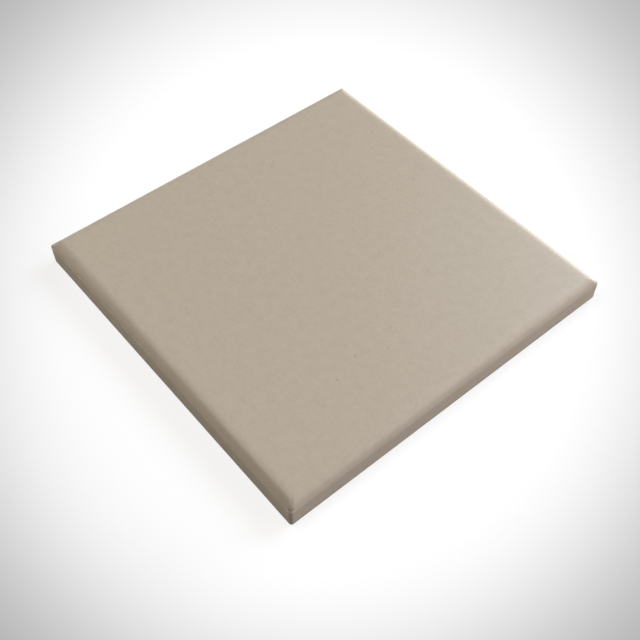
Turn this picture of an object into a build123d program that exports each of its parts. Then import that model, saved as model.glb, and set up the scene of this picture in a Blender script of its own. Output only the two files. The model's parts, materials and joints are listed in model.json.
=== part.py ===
from build123d import *
import os

# Square floor tile, pressed from clay dust in a steel die and fired unglazed.
# Millimetres, +Z up. The origin is the middle of the bed face, the wear face is on top.

# Tile body
side = 106.0
thickness = 8.0
corner_radius = 0.8

# Cushion edge round the wear face, and the narrow rim that the upper punch leaves outside it
cushion_width = 3.0
cushion_drop = 1.9
rim_width = 0.35
rim_round = 0.12

# Lower arris, eased so that it does not chip when the tile is bedded
bed_arris = 0.35

# Keyed back: rows of shallow square pockets between ribs, which the mortar grips
pockets_per_row = 6
back_border = 5.0
rib_width = 2.6
pocket_depth = 0.55
pocket_corner = 1.2
pocket_draft = 30.0

# Places that follow from the sizes above
half_side = side / 2
rim_height = thickness - cushion_drop
cushion_foot = half_side - rim_width
cushion_head = cushion_foot - cushion_width
pocket_field = side - 2 * back_border
pocket_pitch = (pocket_field + rib_width) / pockets_per_row
pocket_size = pocket_pitch - rib_width


def edge_section(plane):
    """Half of the tile's cross-section with its cushion edge, mirrored about the middle."""
    with BuildSketch(plane) as section:
        with BuildLine():
            bed = Line((0, 0), (half_side, 0))
            wall = Line(bed @ 1, (half_side, rim_height))
            rim = Line(wall @ 1, (cushion_foot, rim_height))
            TangentArc((cushion_head, thickness), rim @ 1, tangent=(1, 0), tangent_from_first=True)
            Line((cushion_head, thickness), (0, thickness))
            mirror(about=Plane.YZ)
        make_face()
    return section.sketch


with BuildPart() as floor_tile:
    # Plan of the die, with its small corner radius
    with BuildSketch():
        RectangleRounded(side, side, corner_radius)
    extrude(amount=thickness)

    # The same edge section along both directions: the cushions meet in mitred corners
    for across in (Plane.XZ, Plane.YZ):
        extrude(edge_section(across), amount=half_side, both=True, mode=Mode.INTERSECT)

    # Outer edge of the rim, rounded where the clay left the die
    rim_face = floor_tile.faces().filter_by(Axis.Z).sort_by(Axis.Z)[1]
    fillet(rim_face.outer_wire().edges(), rim_round)

    # Eased lower arris
    bed_face = floor_tile.faces().sort_by(Axis.Z)[0]
    chamfer(bed_face.edges(), bed_arris)

    # Keyed back
    with BuildSketch():
        with GridLocations(pocket_pitch, pocket_pitch, pockets_per_row, pockets_per_row):
            RectangleRounded(pocket_size, pocket_size, pocket_corner)
    extrude(amount=pocket_depth, taper=pocket_draft, mode=Mode.SUBTRACT)

floor_tile.part.label = "floor_tile"

os.makedirs("parts", exist_ok=True)
export_step(floor_tile.part, "parts/floor_tile.step")
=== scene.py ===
import json
from math import cos, radians, sin, tan

import bpy
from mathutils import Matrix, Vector

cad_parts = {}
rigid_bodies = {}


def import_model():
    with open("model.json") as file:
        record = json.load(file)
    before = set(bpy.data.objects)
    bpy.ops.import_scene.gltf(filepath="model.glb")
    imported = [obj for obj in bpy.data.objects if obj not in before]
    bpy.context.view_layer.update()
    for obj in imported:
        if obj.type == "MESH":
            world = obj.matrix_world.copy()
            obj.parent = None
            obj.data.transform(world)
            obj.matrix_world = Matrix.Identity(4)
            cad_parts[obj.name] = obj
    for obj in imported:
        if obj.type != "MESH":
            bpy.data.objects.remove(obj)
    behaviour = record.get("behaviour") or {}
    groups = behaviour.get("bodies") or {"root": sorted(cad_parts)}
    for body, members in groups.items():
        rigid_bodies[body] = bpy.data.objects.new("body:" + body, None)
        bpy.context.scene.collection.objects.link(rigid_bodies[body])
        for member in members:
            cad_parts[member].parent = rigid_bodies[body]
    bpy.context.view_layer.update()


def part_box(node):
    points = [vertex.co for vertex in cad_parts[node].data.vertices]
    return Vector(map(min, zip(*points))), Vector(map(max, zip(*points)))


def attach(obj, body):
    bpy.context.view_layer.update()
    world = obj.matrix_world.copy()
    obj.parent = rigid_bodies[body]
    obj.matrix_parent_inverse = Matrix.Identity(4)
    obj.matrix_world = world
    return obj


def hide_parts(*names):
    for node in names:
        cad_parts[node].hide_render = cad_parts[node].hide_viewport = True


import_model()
mm = 0.001
tileLow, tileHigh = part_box("floor_tile")


# Helpers

def linearColour(hexColour):
    # sRGB hex to the linear values that Blender's sockets want
    levels = [int(hexColour[i:i + 2], 16) / 255 for i in (1, 3, 5)]
    return [c / 12.92 if c <= 0.04045 else ((c + 0.055) / 1.055) ** 2.4 for c in levels] + [1.0]


def addNode(tree, kind, settings=None, inputs=None):
    # An input is a plain value, a socket, or a node whose first output is meant
    made = tree.nodes.new(kind)
    for name, value in (settings or {}).items():
        setattr(made, name, value)
    for key, value in (inputs or {}).items():
        if isinstance(value, bpy.types.Node):
            value = value.outputs[0]
        if isinstance(value, bpy.types.NodeSocket):
            tree.links.new(value, made.inputs[key])
        else:
            made.inputs[key].default_value = value
    return made


def newTree(name, inputs):
    # A geometry tree with a geometry output and one named input for each size
    tree = bpy.data.node_groups.new(name, "GeometryNodeTree")
    tree.interface.new_socket("Geometry", in_out="OUTPUT", socket_type="NodeSocketGeometry")
    for label, kind in inputs:
        tree.interface.new_socket(label, in_out="INPUT", socket_type=kind)
    return tree, tree.nodes.new("NodeGroupInput"), tree.nodes.new("NodeGroupOutput")


def plainMesh(name, tree, values):
    # Runs a geometry tree on an empty object, with its inputs set by identifier, and keeps the result
    holder = bpy.data.objects.new(name, bpy.data.meshes.new(name))
    bpy.context.scene.collection.objects.link(holder)
    modifier = holder.modifiers.new("shape", "NODES")
    modifier.node_group = tree
    for item in tree.interface.items_tree:
        if item.in_out == "INPUT":
            modifier[item.identifier] = values[item.name]
    bpy.context.view_layer.update()
    evaluated = holder.evaluated_get(bpy.context.evaluated_depsgraph_get())
    mesh = bpy.data.meshes.new_from_object(evaluated)
    holder.modifiers.clear()
    holder.data = mesh
    return holder


# Camera: a short telephoto view from above the near corner

cameraView = {
    "place": (133.47 * mm, -109.91 * mm, 202.99 * mm),
    "aim": (17.77 * mm, -11.35 * mm, 8.0 * mm),
    "lens": 54.14,
    "sensor": 36.0,
    "roll": 0.35,
    "shift": -0.0172,
    "nearest": 5.0 * mm,
}


def makeCamera():
    data = bpy.data.cameras.new("camera")
    data.lens = cameraView["lens"]
    data.sensor_width = cameraView["sensor"]
    data.shift_x = cameraView["shift"]
    data.clip_start = cameraView["nearest"]
    camera = bpy.data.objects.new("camera", data)
    bpy.context.scene.collection.objects.link(camera)
    place = Vector(cameraView["place"])
    look = (Vector(cameraView["aim"]) - place).to_track_quat("-Z", "Y")
    camera.location = place
    camera.rotation_euler = look.to_euler()
    camera.rotation_euler.rotate_axis("Z", radians(cameraView["roll"]))
    bpy.context.scene.camera = camera
    print("camera placed")


makeCamera()


# Rounded-square rings: each point of a section drawn in X (half side) and Z (height) becomes one ring

def makeRingTree():
    tree, sizes, out = newTree("squareRings", [("section", "NodeSocketGeometry"),
                                               ("sideSteps", "NodeSocketInt"),
                                               ("cornerSteps", "NodeSocketInt")])
    size = sizes.outputs
    count = addNode(tree, "GeometryNodeAttributeDomainSize", {"component": "CURVE"},
                    {"Geometry": size["section"]})
    quarter = addNode(tree, "ShaderNodeMath", {"operation": "ADD"},
                      {0: size["sideSteps"], 1: size["cornerSteps"]})
    # Four quarters go round, and one more column closes the ring
    around = addNode(tree, "ShaderNodeMath", {"operation": "MULTIPLY_ADD"}, {0: quarter, 1: 4.0, 2: 1.0})
    grid = addNode(tree, "GeometryNodeMeshGrid", {},
                   {"Vertices X": around, "Vertices Y": count.outputs["Point Count"]})

    # Grid vertices run along the section first, then on to the next place round the ring
    index = addNode(tree, "GeometryNodeInputIndex")
    ring = addNode(tree, "ShaderNodeMath", {"operation": "MODULO"},
                   {0: index, 1: count.outputs["Point Count"]})
    walked = addNode(tree, "ShaderNodeMath", {"operation": "DIVIDE"},
                     {0: index, 1: count.outputs["Point Count"]})
    place = addNode(tree, "ShaderNodeMath", {"operation": "FLOOR"}, {0: walked})

    # A quarter is one corner arc, then one straight side
    turns = addNode(tree, "ShaderNodeMath", {"operation": "DIVIDE"}, {0: place, 1: quarter})
    corner = addNode(tree, "ShaderNodeMath", {"operation": "FLOOR"}, {0: turns})
    step = addNode(tree, "ShaderNodeMath", {"operation": "MODULO"}, {0: place, 1: quarter})
    arcPart = addNode(tree, "ShaderNodeMath", {"operation": "DIVIDE", "use_clamp": True},
                      {0: step, 1: size["cornerSteps"]})
    pastArc = addNode(tree, "ShaderNodeMath", {"operation": "SUBTRACT"}, {0: step, 1: size["cornerSteps"]})
    sidePart = addNode(tree, "ShaderNodeMath", {"operation": "DIVIDE", "use_clamp": True},
                       {0: pastArc, 1: size["sideSteps"]})

    # Half side, height and corner radius of this ring
    point = addNode(tree, "GeometryNodeSampleIndex", {"data_type": "FLOAT_VECTOR", "domain": "POINT"},
                    {"Geometry": size["section"], "Index": ring,
                     "Value": addNode(tree, "GeometryNodeInputPosition")})
    stored = addNode(tree, "GeometryNodeInputNamedAttribute", {"data_type": "FLOAT"}, {"Name": "corner"})
    radius = addNode(tree, "GeometryNodeSampleIndex", {"data_type": "FLOAT", "domain": "POINT"},
                     {"Geometry": size["section"], "Index": ring, "Value": stored})
    split = addNode(tree, "ShaderNodeSeparateXYZ", {}, {0: point})
    reach = addNode(tree, "ShaderNodeMath", {"operation": "SUBTRACT"}, {0: split.outputs["X"], 1: radius})
    diagonal = addNode(tree, "ShaderNodeMath", {"operation": "MULTIPLY"}, {0: reach, 1: 2 ** 0.5})

    # Directions, in quarter turns: to the two corner centres that this side runs between, and the arc's own
    directions = []
    for ahead in (0.5, 1.5, arcPart):
        turned = addNode(tree, "ShaderNodeMath", {"operation": "ADD"}, {0: corner, 1: ahead})
        angle = addNode(tree, "ShaderNodeMath", {"operation": "MULTIPLY"}, {0: turned, 1: radians(90)})
        cosine = addNode(tree, "ShaderNodeMath", {"operation": "COSINE"}, {0: angle})
        sine = addNode(tree, "ShaderNodeMath", {"operation": "SINE"}, {0: angle})
        directions.append(addNode(tree, "ShaderNodeCombineXYZ", {}, {"X": cosine, "Y": sine}))
    centres = [addNode(tree, "ShaderNodeVectorMath", {"operation": "SCALE"}, {0: way, "Scale": diagonal})
               for way in directions[:2]]
    centre = addNode(tree, "ShaderNodeMix", {"data_type": "VECTOR"},
                     {"Factor": sidePart, 4: centres[0], 5: centres[1]})

    # Out from that centre by the corner radius, up to the section's height
    outward = addNode(tree, "ShaderNodeVectorMath", {"operation": "SCALE"},
                      {0: directions[2], "Scale": radius})
    level = addNode(tree, "ShaderNodeCombineXYZ", {}, {"Z": split.outputs["Z"]})
    lifted = addNode(tree, "ShaderNodeVectorMath", {"operation": "ADD"}, {0: outward, 1: level})
    put = addNode(tree, "ShaderNodeVectorMath", {"operation": "ADD"}, {0: centre.outputs[1], 1: lifted})
    moved = addNode(tree, "GeometryNodeSetPosition", {}, {"Geometry": grid, "Position": put})
    outside = addNode(tree, "GeometryNodeFlipFaces", {}, {"Mesh": moved})
    tree.links.new(outside.outputs[0], out.inputs[0])
    return tree


ringTree = makeRingTree()


# Tile body: real sizes in millimetres; side and thickness come from the frame. The rim stands crisp up to
# rimKept from one front corner and is rubbed soft past rimWorn; the edge is left sharp up to mitreKept
# from a mitre and is eased in full past mitreWorn.

tileBody = {
    "cornerRadius": 0.8,
    "cushionWidth": 3.0,
    "cushionDrop": 1.9,
    "cushionCrease": 0.05,
    "rimWidth": 0.35,
    "rimRound": 0.12,
    "rimWornDrop": 0.4,
    "rimKept": 38.0,
    "rimWorn": 62.0,
    "mitreKept": 0.6,
    "mitreWorn": 3.0,
    "bedArris": 0.35,
    "backBorder": 5.0,
    "ribWidth": 2.6,
    "pocketDepth": 0.55,
    "pocketCorner": 1.2,
    "pocketMouth": 0.12,
    "pocketFoot": 0.25,
    "sectionStep": 0.125,
    "waveSize": 16.0,
    "waveDepth": 0.02,
    "wearSize": 2.4,
    "wearDepth": 0.035,
    "weldGap": 0.002,
}
tileCounts = {
    "pocketsPerRow": 6,
    "stepsPerPocket": 16,
    "cornerSteps": 8,
    "smoothing": 13,
}
tileShares = {
    "bow": 0.97,
    "rubFloor": 0.6,
    "backTop": 0.5,
}
pocketDraft = 30.0


def tileSizes():
    # The tree's lengths in metres: the sizes above, and the places that follow from them. The sizes
    # that only serve to find a place are dropped at the end.
    size = {name: value * mm for name, value in tileBody.items()}
    size["side"] = tileHigh.x - tileLow.x
    size["thickness"] = tileHigh.z - tileLow.z
    size["half"] = size["side"] / 2
    size["foot"] = size["half"] - size["rimWidth"]
    size["head"] = size["foot"] - size["cushionWidth"]
    size["rim"] = size["thickness"] - size["cushionDrop"]
    size["inner"] = size["half"] - size["cornerRadius"]

    # The cushion is an arc that leaves the face level; its two tangents meet at the knee.
    # The fillet there takes a hair less than the arc's radius, or it would use up both runs.
    slope = size["cushionDrop"] / size["cushionWidth"]
    bow = (size["cushionWidth"] / slope + size["cushionDrop"]) / 2
    size["knee"] = size["head"] + bow * slope
    size["bow"] = bow * tileShares["bow"]

    # Keyed field of the back, one pocket cell of it, and the pocket's foot inside its drafted walls
    field = size["side"] - 2 * size["backBorder"] + size["ribWidth"]
    size["fieldHalf"] = field / 2
    size["cell"] = size["fieldHalf"] / tileCounts["pocketsPerRow"]
    size["mouth"] = size["cell"] - size["ribWidth"] / 2
    lean = size["pocketDepth"] * tan(radians(pocketDraft))
    size["base"] = size["mouth"] - lean
    size["baseCorner"] = size["pocketCorner"] - lean
    size["pocketSpan"] = 2 * size["cell"] * (tileCounts["pocketsPerRow"] - 1)

    # The wall is rubbed down to rubFloor, and below backTop all of the body is as uneven as the edges.
    # The crisp rim is on the front edge, near the corner where X and Y are both lowest.
    size["rubFloor"] = size["rim"] * tileShares["rubFloor"]
    size["backTop"] = size["rim"] * tileShares["backTop"]
    size["frontEdge"] = -size["head"]
    size["keptCorner"] = -size["half"]
    for used in ("cushionWidth", "cushionDrop", "rimWidth", "backBorder", "ribWidth"):
        del size[used]
    return size


def addSection(tree, points, rounds, corners, arcSteps):
    # A polyline in X and Z with each corner rounded, carrying the plan corner radius along it
    line = addNode(tree, "GeometryNodeMeshLine", {"mode": "OFFSET"}, {"Count": len(points)})
    index = addNode(tree, "GeometryNodeInputIndex")
    places = [addNode(tree, "ShaderNodeCombineXYZ", {}, {"X": x, "Z": z}) for x, z in points]
    picked = []
    for kind, values in (("VECTOR", places), ("FLOAT", rounds), ("FLOAT", corners)):
        switch = addNode(tree, "GeometryNodeIndexSwitch", {"data_type": kind}, {"Index": index})
        while len(switch.index_switch_items) < len(values):
            switch.index_switch_items.new()
        for number, value in enumerate(values, 1):
            if isinstance(value, bpy.types.Node):
                value = value.outputs[0]
            if isinstance(value, bpy.types.NodeSocket):
                tree.links.new(value, switch.inputs[number])
            else:
                switch.inputs[number].default_value = value
        picked.append(switch)
    placed = addNode(tree, "GeometryNodeSetPosition", {}, {"Geometry": line, "Position": picked[0]})
    for name, values in (("round", picked[1]), ("corner", picked[2])):
        placed = addNode(tree, "GeometryNodeStoreNamedAttribute", {"data_type": "FLOAT", "domain": "POINT"},
                         {"Geometry": placed, "Name": name, "Value": values})
    curve = addNode(tree, "GeometryNodeMeshToCurve", {}, {"Mesh": placed})
    radius = addNode(tree, "GeometryNodeInputNamedAttribute", {"data_type": "FLOAT"}, {"Name": "round"})
    return addNode(tree, "GeometryNodeFilletCurve", {"mode": "POLY"},
                   {"Curve": curve, "Count": arcSteps, "Radius": radius.outputs["Attribute"],
                    "Limit Radius": True})


def makeBodyTree(lengths):
    names = [(name, "NodeSocketFloat") for name in lengths]
    names += [(name, "NodeSocketInt") for name in tileCounts]
    tree, sizes, out = newTree("pressedTile", names + [("clay", "NodeSocketMaterial")])
    size = sizes.outputs

    # Edge section, from the face's flat over the cushion and down the wall to the keyed field
    corner = size["cornerRadius"]
    edge = addSection(
        tree,
        [(size["head"], size["thickness"]), (size["knee"], size["thickness"]), (size["foot"], size["rim"]),
         (size["half"], size["rim"]), (size["half"], 0.0), (size["fieldHalf"], 0.0)],
        [0.0, size["bow"], size["cushionCrease"], size["rimRound"], size["bedArris"], 0.0],
        [0.0, 0.0, corner, corner, corner, 0.0], arcSteps=12)
    drawn = addNode(tree, "GeometryNodeResampleCurve", {"mode": "LENGTH"},
                    {"Curve": edge, "Length": size["sectionStep"]})
    sideSteps = addNode(tree, "ShaderNodeMath", {"operation": "MULTIPLY"},
                        {0: size["pocketsPerRow"], 1: size["stepsPerPocket"]})
    shell = addNode(tree, "GeometryNodeGroup", {"node_tree": ringTree},
                    {"section": drawn, "sideSteps": sideSteps, "cornerSteps": size["cornerSteps"]})

    # Wear face inside the cushion
    steps = addNode(tree, "ShaderNodeMath", {"operation": "ADD"}, {0: sideSteps, 1: 1.0})
    wide = addNode(tree, "ShaderNodeMath", {"operation": "MULTIPLY"}, {0: size["head"], 1: 2.0})
    face = addNode(tree, "GeometryNodeMeshGrid", {},
                   {"Size X": wide, "Size Y": wide, "Vertices X": steps, "Vertices Y": steps})
    upper = addNode(tree, "ShaderNodeCombineXYZ", {}, {"Z": size["thickness"]})
    top = addNode(tree, "GeometryNodeTransform", {}, {"Geometry": face, "Translation": upper})

    # One pocket of the keyed back, with half a rib round it, repeated in rows
    pocket = addSection(
        tree,
        [(size["cell"], 0.0), (size["mouth"], 0.0), (size["base"], size["pocketDepth"]),
         (0.0, size["pocketDepth"])],
        [0.0, size["pocketMouth"], size["pocketFoot"], 0.0],
        [0.0, size["pocketCorner"], size["baseCorner"], 0.0], arcSteps=4)
    cup = addNode(tree, "GeometryNodeGroup", {"node_tree": ringTree},
                  {"section": pocket, "sideSteps": size["stepsPerPocket"],
                   "cornerSteps": size["cornerSteps"]})
    rows = addNode(tree, "GeometryNodeMeshGrid", {},
                   {"Size X": size["pocketSpan"], "Size Y": size["pocketSpan"],
                    "Vertices X": size["pocketsPerRow"], "Vertices Y": size["pocketsPerRow"]})
    pockets = addNode(tree, "GeometryNodeInstanceOnPoints", {}, {"Points": rows, "Instance": cup})
    back = addNode(tree, "GeometryNodeRealizeInstances", {}, {"Geometry": pockets})

    # One closed body, with the seams between its parts welded
    joined = addNode(tree, "GeometryNodeJoinGeometry")
    for part in (back, top, shell):
        tree.links.new(part.outputs[0], joined.inputs[0])
    closed = addNode(tree, "GeometryNodeMergeByDistance", {},
                     {"Geometry": joined, "Distance": size["weldGap"]})

    # Place on the tile, and the same place folded into one quarter
    place = addNode(tree, "GeometryNodeInputPosition")
    axes = addNode(tree, "ShaderNodeSeparateXYZ", {}, {0: place}).outputs
    folded = addNode(tree, "ShaderNodeVectorMath", {"operation": "ABSOLUTE"}, {0: place})
    foldedAxes = addNode(tree, "ShaderNodeSeparateXYZ", {}, {0: folded}).outputs
    reach = addNode(tree, "ShaderNodeMath", {"operation": "MAXIMUM"},
                    {0: foldedAxes["X"], 1: foldedAxes["Y"]})

    # The rim is rubbed soft all round, except along the end of one side where it still stands crisp
    keptCorner = addNode(tree, "ShaderNodeCombineXYZ", {},
                         {"X": size["keptCorner"], "Y": size["keptCorner"], "Z": size["rim"]})
    away = addNode(tree, "ShaderNodeVectorMath", {"operation": "DISTANCE"}, {0: place, 1: keptCorner})
    standing = addNode(tree, "ShaderNodeMapRange", {"interpolation_type": "SMOOTHSTEP"},
                       {"Value": away.outputs["Value"], "From Min": size["rimKept"],
                        "From Max": size["rimWorn"], "To Min": 1.0, "To Max": 0.0})
    front = addNode(tree, "ShaderNodeMath", {"operation": "LESS_THAN"}, {0: axes["Y"], 1: size["frontEdge"]})
    kept = addNode(tree, "ShaderNodeMath", {"operation": "MULTIPLY"}, {0: front, 1: standing})
    handled = addNode(tree, "ShaderNodeMath", {"operation": "SUBTRACT"}, {0: 1.0, 1: kept})
    above = addNode(tree, "ShaderNodeMath", {"operation": "GREATER_THAN"},
                    {0: axes["Z"], 1: size["rubFloor"]})
    rubbed = addNode(tree, "ShaderNodeMath", {"operation": "MULTIPLY"}, {0: above, 1: handled})

    # Where it is rubbed its outer edge is worn down, so that the cushion runs on into the wall
    core = addNode(tree, "ShaderNodeCombineXYZ", {},
                   {"X": size["inner"], "Y": size["inner"], "Z": size["side"]})
    beyond = addNode(tree, "ShaderNodeVectorMath", {"operation": "SUBTRACT"}, {0: folded, 1: core})
    clipped = addNode(tree, "ShaderNodeVectorMath", {"operation": "MAXIMUM"},
                      {0: beyond, 1: (0.0, 0.0, 0.0)})
    past = addNode(tree, "ShaderNodeVectorMath", {"operation": "LENGTH"}, {0: clipped})
    ringReach = addNode(tree, "ShaderNodeMath", {"operation": "ADD"},
                        {0: size["inner"], 1: past.outputs["Value"]})
    outDrop = addNode(tree, "ShaderNodeMapRange", {},
                      {"Value": ringReach, "From Min": size["foot"], "From Max": size["half"],
                       "To Max": size["rimWornDrop"]})
    highShare = addNode(tree, "ShaderNodeMapRange", {},
                        {"Value": axes["Z"], "From Min": size["rubFloor"], "From Max": size["rim"]})
    wallDrop = addNode(tree, "ShaderNodeMath", {"operation": "MULTIPLY"}, {0: outDrop, 1: highShare})
    fallen = addNode(tree, "ShaderNodeMath", {"operation": "MULTIPLY"}, {0: wallDrop, 1: rubbed})
    down = addNode(tree, "ShaderNodeCombineXYZ", {}, {"Z": fallen})
    lowered = addNode(tree, "ShaderNodeVectorMath", {"operation": "SUBTRACT"}, {0: place, 1: down})

    # The mitres stay sharp, so the easing fades out towards them
    across = addNode(tree, "ShaderNodeMath", {"operation": "SUBTRACT"},
                     {0: foldedAxes["X"], 1: foldedAxes["Y"]})
    apart = addNode(tree, "ShaderNodeMath", {"operation": "ABSOLUTE"}, {0: across})
    offMitre = addNode(tree, "ShaderNodeMapRange", {"interpolation_type": "SMOOTHSTEP"},
                       {"Value": apart, "From Min": size["mitreKept"], "From Max": size["mitreWorn"]})
    easing = addNode(tree, "ShaderNodeMath", {"operation": "MULTIPLY"}, {0: rubbed, 1: offMitre})
    eased = addNode(tree, "GeometryNodeBlurAttribute", {"data_type": "FLOAT_VECTOR"},
                    {"Value": lowered, "Iterations": size["smoothing"], "Weight": easing})
    softened = addNode(tree, "GeometryNodeSetPosition", {}, {"Geometry": closed, "Position": eased})

    # Relief of the clay, always inwards: slow waves on the wear face, finer unevenness everywhere else.
    # Noise keeps mostly to the range between noiseLow and noiseHigh, which becomes the whole depth.
    noiseLow, noiseHigh = 0.2, 0.8
    outer = addNode(tree, "ShaderNodeMapRange", {"interpolation_type": "SMOOTHSTEP"},
                    {"Value": reach, "From Min": size["head"], "From Max": size["foot"]})
    under = addNode(tree, "ShaderNodeMath", {"operation": "LESS_THAN"}, {0: axes["Z"], 1: size["backTop"]})
    share = addNode(tree, "ShaderNodeMath", {"operation": "MAXIMUM"}, {0: outer, 1: under})
    depths = []
    for span, depth in (("waveSize", "waveDepth"), ("wearSize", "wearDepth")):
        scale = addNode(tree, "ShaderNodeMath", {"operation": "DIVIDE"}, {0: 1.0, 1: size[span]})
        noise = addNode(tree, "ShaderNodeTexNoise", {"noise_dimensions": "3D"},
                        {"Vector": place, "Scale": scale, "Detail": 1.5})
        depths.append(addNode(tree, "ShaderNodeMapRange", {},
                              {"Value": noise, "From Min": noiseLow, "From Max": noiseHigh,
                               "To Max": size[depth]}))
    sunk = addNode(tree, "ShaderNodeMix", {"data_type": "FLOAT"},
                   {"Factor": share, 2: depths[0], 3: depths[1]})
    inwards = addNode(tree, "ShaderNodeMath", {"operation": "MULTIPLY"}, {0: sunk, 1: -1.0})
    pushed = addNode(tree, "ShaderNodeVectorMath", {"operation": "SCALE"},
                     {0: addNode(tree, "GeometryNodeInputNormal"), "Scale": inwards})
    worn = addNode(tree, "GeometryNodeSetPosition", {}, {"Geometry": softened, "Offset": pushed})
    smooth = addNode(tree, "GeometryNodeSetShadeSmooth", {}, {"Geometry": worn, "Shade Smooth": True})
    made = addNode(tree, "GeometryNodeSetMaterial", {}, {"Geometry": smooth, "Material": size["clay"]})
    tree.links.new(made.outputs[0], out.inputs[0])
    return tree


# Sizes in millimetres. The dust's own granules are finer than the render can show, so they are drawn at 0.9.
# A range is the mottle's level where a tint begins and where it is strongest.

clayLook = {
    "body": "#ABA08F",
    "granule": "#8F8270",
    "paleGranule": "#BDB3A3",
    "fleck": "#6E6254",
    "granuleSize": 0.9,
    "granuleRoughness": 0.45,
    "blotchSize": 2.6,
    "blotchRoughness": 0.5,
    "blotchShare": 0.9,
    "darkRange": (0.96, 1.36),
    "darkTint": 0.18,
    "paleRange": (0.94, 0.54),
    "paleTint": 0.15,
    "fleckSpacing": 7.5,
    "fleckSize": 0.45,
    "fleckTint": 0.5,
    "faceRoughness": 0.42,
    "wallRoughness": 0.85,
    "dryBelowRim": 0.1,
    "satinAboveRim": 1.3,
    "pitDepth": 0.005,
}


def makeClay():
    # Unglazed vitrified clay pressed from dust: close-grained, buff, with a dull sheen at low angles
    look = clayLook
    clay = bpy.data.materials.new("unglazedVitrifiedClay")
    clay.use_nodes = True
    tree = clay.node_tree
    shader = tree.nodes["Principled BSDF"]
    place = addNode(tree, "ShaderNodeTexCoord").outputs["Object"]

    # Granules of the dust, a little darker and a little paler than the body, gathered in soft blotches
    grain, blotch = [
        addNode(tree, "ShaderNodeTexNoise", {}, {"Vector": place, "Scale": 1 / (look[name + "Size"] * mm),
                                                 "Detail": 1.0, "Roughness": look[name + "Roughness"]})
        for name in ("granule", "blotch")]
    mottle = addNode(tree, "ShaderNodeMath", {"operation": "MULTIPLY_ADD"},
                     {0: blotch, 1: look["blotchShare"], 2: grain})
    colour = linearColour(look["body"])
    for name, tint in (("dark", "granule"), ("pale", "paleGranule")):
        begins, ends = look[name + "Range"]
        strength = addNode(tree, "ShaderNodeMapRange", {},
                           {"Value": mottle, "From Min": begins, "From Max": ends,
                            "To Min": 0.0, "To Max": look[name + "Tint"]})
        colour = addNode(tree, "ShaderNodeMix", {"data_type": "RGBA"},
                         {"Factor": strength, 6: colour, 7: linearColour(look[tint])}).outputs[2]

    # Sparse dark flecks of iron
    cells = addNode(tree, "ShaderNodeTexVoronoi", {}, {"Vector": place,
                                                       "Scale": 1 / (look["fleckSpacing"] * mm)})
    dot = addNode(tree, "ShaderNodeMapRange", {"interpolation_type": "SMOOTHSTEP"},
                  {"Value": cells.outputs["Distance"], "From Min": 0.0,
                   "From Max": look["fleckSize"] / look["fleckSpacing"],
                   "To Min": look["fleckTint"], "To Max": 0.0})
    colour = addNode(tree, "ShaderNodeMix", {"data_type": "RGBA"},
                     {"Factor": dot, 6: colour, 7: linearColour(look["fleck"])}).outputs[2]
    tree.links.new(colour, shader.inputs["Base Color"])

    pits = addNode(tree, "ShaderNodeBump", {}, {"Height": grain, "Distance": look["pitDepth"] * mm,
                                                "Strength": 1.0})
    tree.links.new(pits.outputs[0], shader.inputs["Normal"])

    # The punch leaves the face and the upper cushion dense and faintly satin; below, it stays dry
    height = addNode(tree, "ShaderNodeSeparateXYZ", {}, {0: place}).outputs["Z"]
    rim = tileHigh.z - tileBody["cushionDrop"] * mm
    dullness = addNode(tree, "ShaderNodeMapRange", {"interpolation_type": "SMOOTHSTEP"},
                       {"Value": height, "From Min": rim - look["dryBelowRim"] * mm,
                        "From Max": rim + look["satinAboveRim"] * mm,
                        "To Min": look["wallRoughness"], "To Max": look["faceRoughness"]})
    tree.links.new(dullness.outputs[0], shader.inputs["Roughness"])
    return clay


def makeTile():
    lengths = tileSizes()
    tile = plainMesh("tile_body", makeBodyTree(lengths), {**lengths, **tileCounts, "clay": makeClay()})
    print("tile body:", len(tile.data.vertices), "vertices,", len(tile.data.polygons), "faces")
    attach(tile, "root")
    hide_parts("floor_tile")


makeTile()


# Floor: pale paper that lights the tile as a mid grey and shows white, with a pool of light painted on it
# that dims away from the tile

floorLook = {
    "reach": 3.0,
    "paper": (0.4, 0.4, 0.4, 1.0),
    "glow": 0.78,
    # poolCentre to edgeLevel shape a pool of light painted on the floor, white in its middle and fading to
    # edgeLevel outside it
    "poolCentre": (11.0 * mm, -9.5 * mm),
    "poolAxes": (119.9 * mm, 151.9 * mm),
    "poolTurn": 50.5,
    "poolLean": 0.36,
    "leastLean": 0.4,
    "poolFade": (0.45, 1.2),
    "edgeLevel": 0.41,
}


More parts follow.
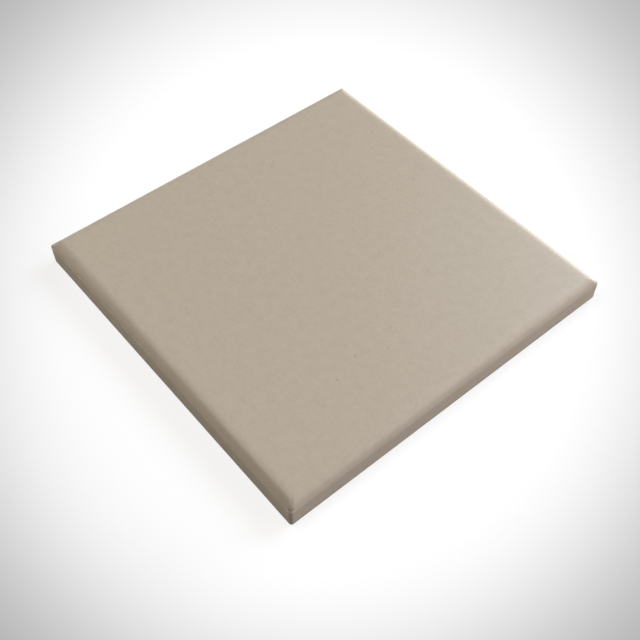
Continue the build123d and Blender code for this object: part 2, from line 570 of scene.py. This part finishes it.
def makeFloor():
    reach = floorLook["reach"]
    sheet = bpy.data.meshes.new("floor")
    sheet.from_pydata([(-reach, -reach, 0), (reach, -reach, 0), (reach, reach, 0), (-reach, reach, 0)],
                      [], [(0, 1, 2, 3)])
    floor = bpy.data.objects.new("floor", sheet)
    bpy.context.scene.collection.objects.link(floor)
    paper = bpy.data.materials.new("whitePaperWithPaintedPool")
    paper.use_nodes = True
    tree = paper.node_tree
    tree.nodes.clear()

    # A texture mapping divides by its scale, so the distance is 1 on the edge of the painted pool of light
    place = addNode(tree, "ShaderNodeTexCoord").outputs["Object"]
    turned = addNode(tree, "ShaderNodeMapping", {"vector_type": "TEXTURE"},
                     {"Vector": place, "Location": (*floorLook["poolCentre"], 0.0),
                      "Rotation": (0.0, 0.0, radians(floorLook["poolTurn"])),
                      "Scale": (*floorLook["poolAxes"], 1.0)})
    away = addNode(tree, "ShaderNodeVectorMath", {"operation": "LENGTH"}, {0: turned})

    # The painted pool of light is drawn as if thrown at a slant, so it is drawn out towards its far end
    axes = addNode(tree, "ShaderNodeSeparateXYZ", {}, {0: turned})
    drawn = addNode(tree, "ShaderNodeMath", {"operation": "MULTIPLY_ADD"},
                    {0: axes.outputs["Y"], 1: floorLook["poolLean"], 2: 1.0})
    held = addNode(tree, "ShaderNodeMath", {"operation": "MAXIMUM"}, {0: drawn, 1: floorLook["leastLean"]})
    ratio = addNode(tree, "ShaderNodeMath", {"operation": "DIVIDE"}, {0: away.outputs["Value"], 1: held})
    level = addNode(tree, "ShaderNodeMapRange", {"interpolation_type": "SMOOTHERSTEP"},
                    {"Value": ratio, "From Min": floorLook["poolFade"][0],
                     "From Max": floorLook["poolFade"][1], "To Min": 1.0, "To Max": floorLook["edgeLevel"]})
    # tint is the painted pool of light, a grey from white down to edgeLevel, used for the paper's shown
    # colour and glow
    tint = addNode(tree, "ShaderNodeCombineColor", {}, {0: level, 1: level, 2: level})

    # Seen directly or mirrored it glows white with the painted pool of light and keeps some shadow; as a
    # light on the tile it is grey
    plain = addNode(tree, "ShaderNodeBsdfDiffuse", {}, {"Color": floorLook["paper"]})
    shown = addNode(tree, "ShaderNodeBsdfDiffuse", {}, {"Color": tint})
    glow = addNode(tree, "ShaderNodeEmission", {}, {"Color": tint, "Strength": 1.0})
    seen = addNode(tree, "ShaderNodeMixShader", {}, {0: floorLook["glow"], 1: shown, 2: glow})
    path = addNode(tree, "ShaderNodeLightPath").outputs
    mirrored = addNode(tree, "ShaderNodeMath", {"operation": "MAXIMUM"},
                       {0: path["Is Glossy Ray"], 1: path["Is Transmission Ray"]})
    direct = addNode(tree, "ShaderNodeMath", {"operation": "MAXIMUM"},
                     {0: path["Is Camera Ray"], 1: mirrored})
    mixed = addNode(tree, "ShaderNodeMixShader", {}, {0: direct, 1: plain, 2: seen})
    addNode(tree, "ShaderNodeOutputMaterial", {}, {"Surface": mixed})
    sheet.materials.append(paper)


makeFloor()


# Light: a window high behind the tile, the bright ground beyond it, a side light, the ceiling above
# the camera and a warm fill. Angles are in degrees, sizes and distance in metres.

lampDistance = 1.2
roomLevel = 0.05
lights = {
    "backWindow": {"azimuth": 90, "elevation": 38, "size": (0.9, 0.5), "power": 11.3,
                   "colour": (0.89, 1.0, 1.11)},
    "brightGround": {"azimuth": 82, "elevation": 8, "size": (0.9, 0.3), "power": 20.0,
                     "colour": (1.03, 0.97, 1.0)},
    "sideLight": {"azimuth": 30, "elevation": 26, "size": (0.5, 1.0), "power": 4.5,
                  "colour": (1.07, 0.97, 0.96)},
    "ceiling": {"azimuth": 232, "elevation": 64, "size": (0.9, 0.7), "power": 7.1,
                "colour": (1.08, 1.0, 0.92)},
    "warmFill": {"azimuth": 210, "elevation": 9, "size": (0.7, 0.35), "power": 3.9,
                 "colour": (1.08, 1.0, 0.92)},
}


def makeLight(name, look):
    lamp = bpy.data.lights.new(name, "AREA")
    lamp.shape = "RECTANGLE"
    lamp.size, lamp.size_y = look["size"]
    lamp.energy = look["power"]
    lamp.color = look["colour"]
    light = bpy.data.objects.new(name, lamp)
    azimuth, elevation = radians(look["azimuth"]), radians(look["elevation"])
    away = Vector((cos(azimuth) * cos(elevation), sin(azimuth) * cos(elevation), sin(elevation)))
    light.location = away * lampDistance
    light.rotation_euler = (-away).to_track_quat("-Z", "Y").to_euler()
    light.visible_camera = False
    bpy.context.scene.collection.objects.link(light)


for lightName, lightLook in lights.items():
    makeLight(lightName, lightLook)
world = bpy.data.worlds.new("room")
world.use_nodes = True
world.node_tree.nodes["Background"].inputs["Strength"].default_value = roomLevel
bpy.context.scene.world = world
print("floor and lights placed")

bpy.context.scene.view_settings.view_transform = "Standard"
